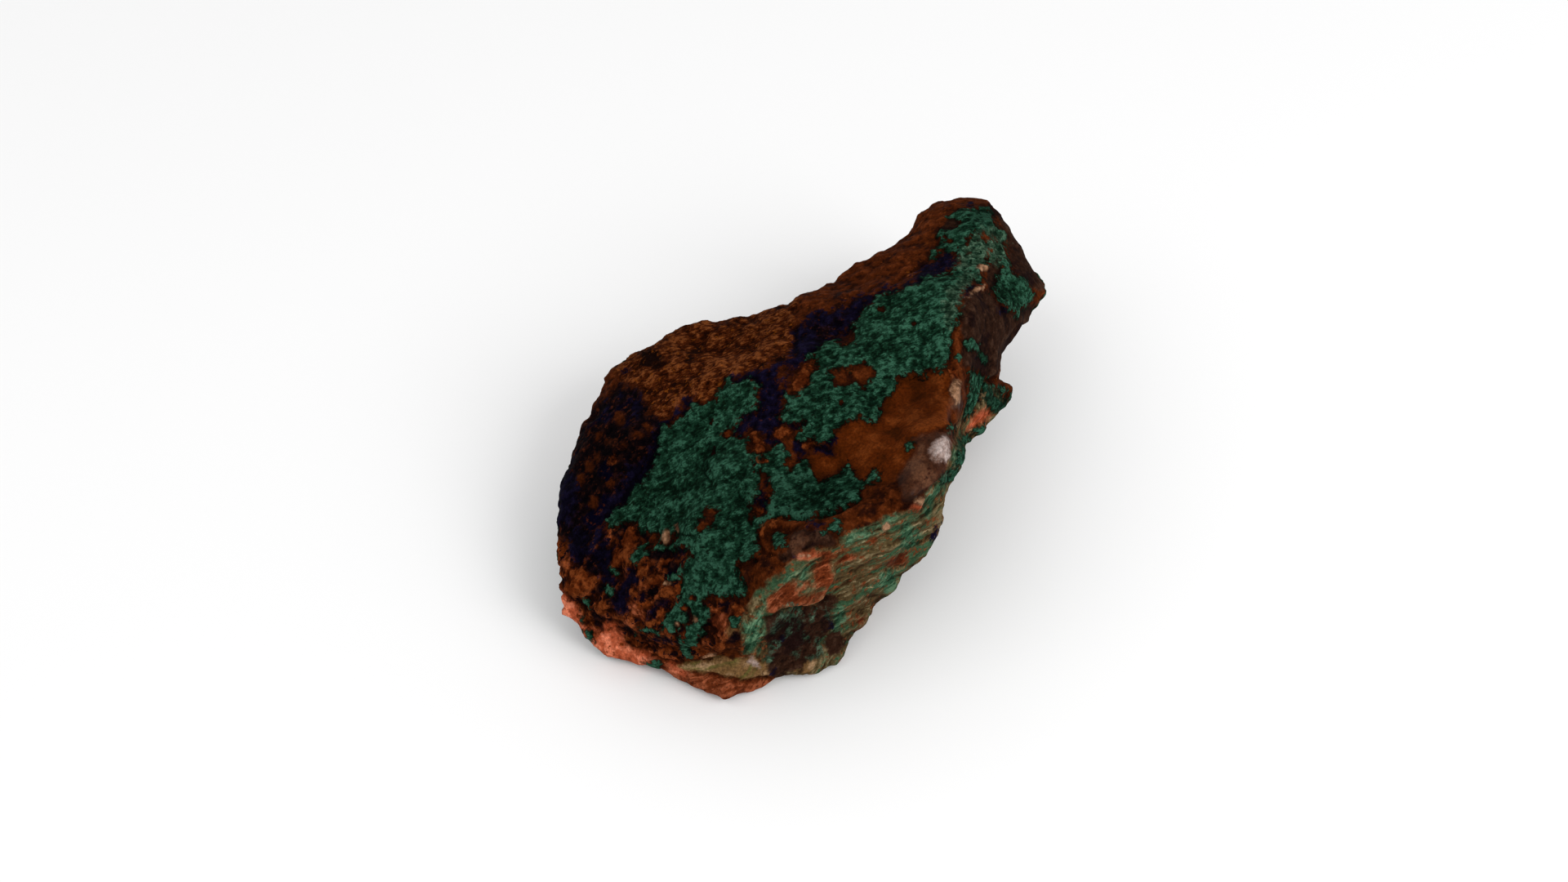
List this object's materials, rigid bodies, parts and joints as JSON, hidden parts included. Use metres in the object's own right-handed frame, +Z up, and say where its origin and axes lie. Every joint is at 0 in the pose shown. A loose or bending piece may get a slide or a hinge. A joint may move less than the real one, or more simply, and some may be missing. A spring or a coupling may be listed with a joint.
{
  "type": "azurite malachite specimen",
  "caption": "Loose pear-shaped hand specimen of bedded iron-stained rock, crusted with green malachite and blue azurite, lying flat.",
  "frame": {"origin": "on the resting plane, under the middle of the bounding box", "axes": "+Z up from the surface that the stone lies on; +X along the stone, from the blunt low end to the narrow neck; +Y towards the bevelled back side"},
  "size_m": [0.0966, 0.061, 0.0312],
  "materials": {
    "crusted_rock": "dull, finely granular crusts of green malachite and dark blue azurite on brown iron-stained rock, with pink and pale layered ledges"
  },
  "bodies": {
    "root": {"stone": "crusted_rock"}
  },
  "joints": []
}
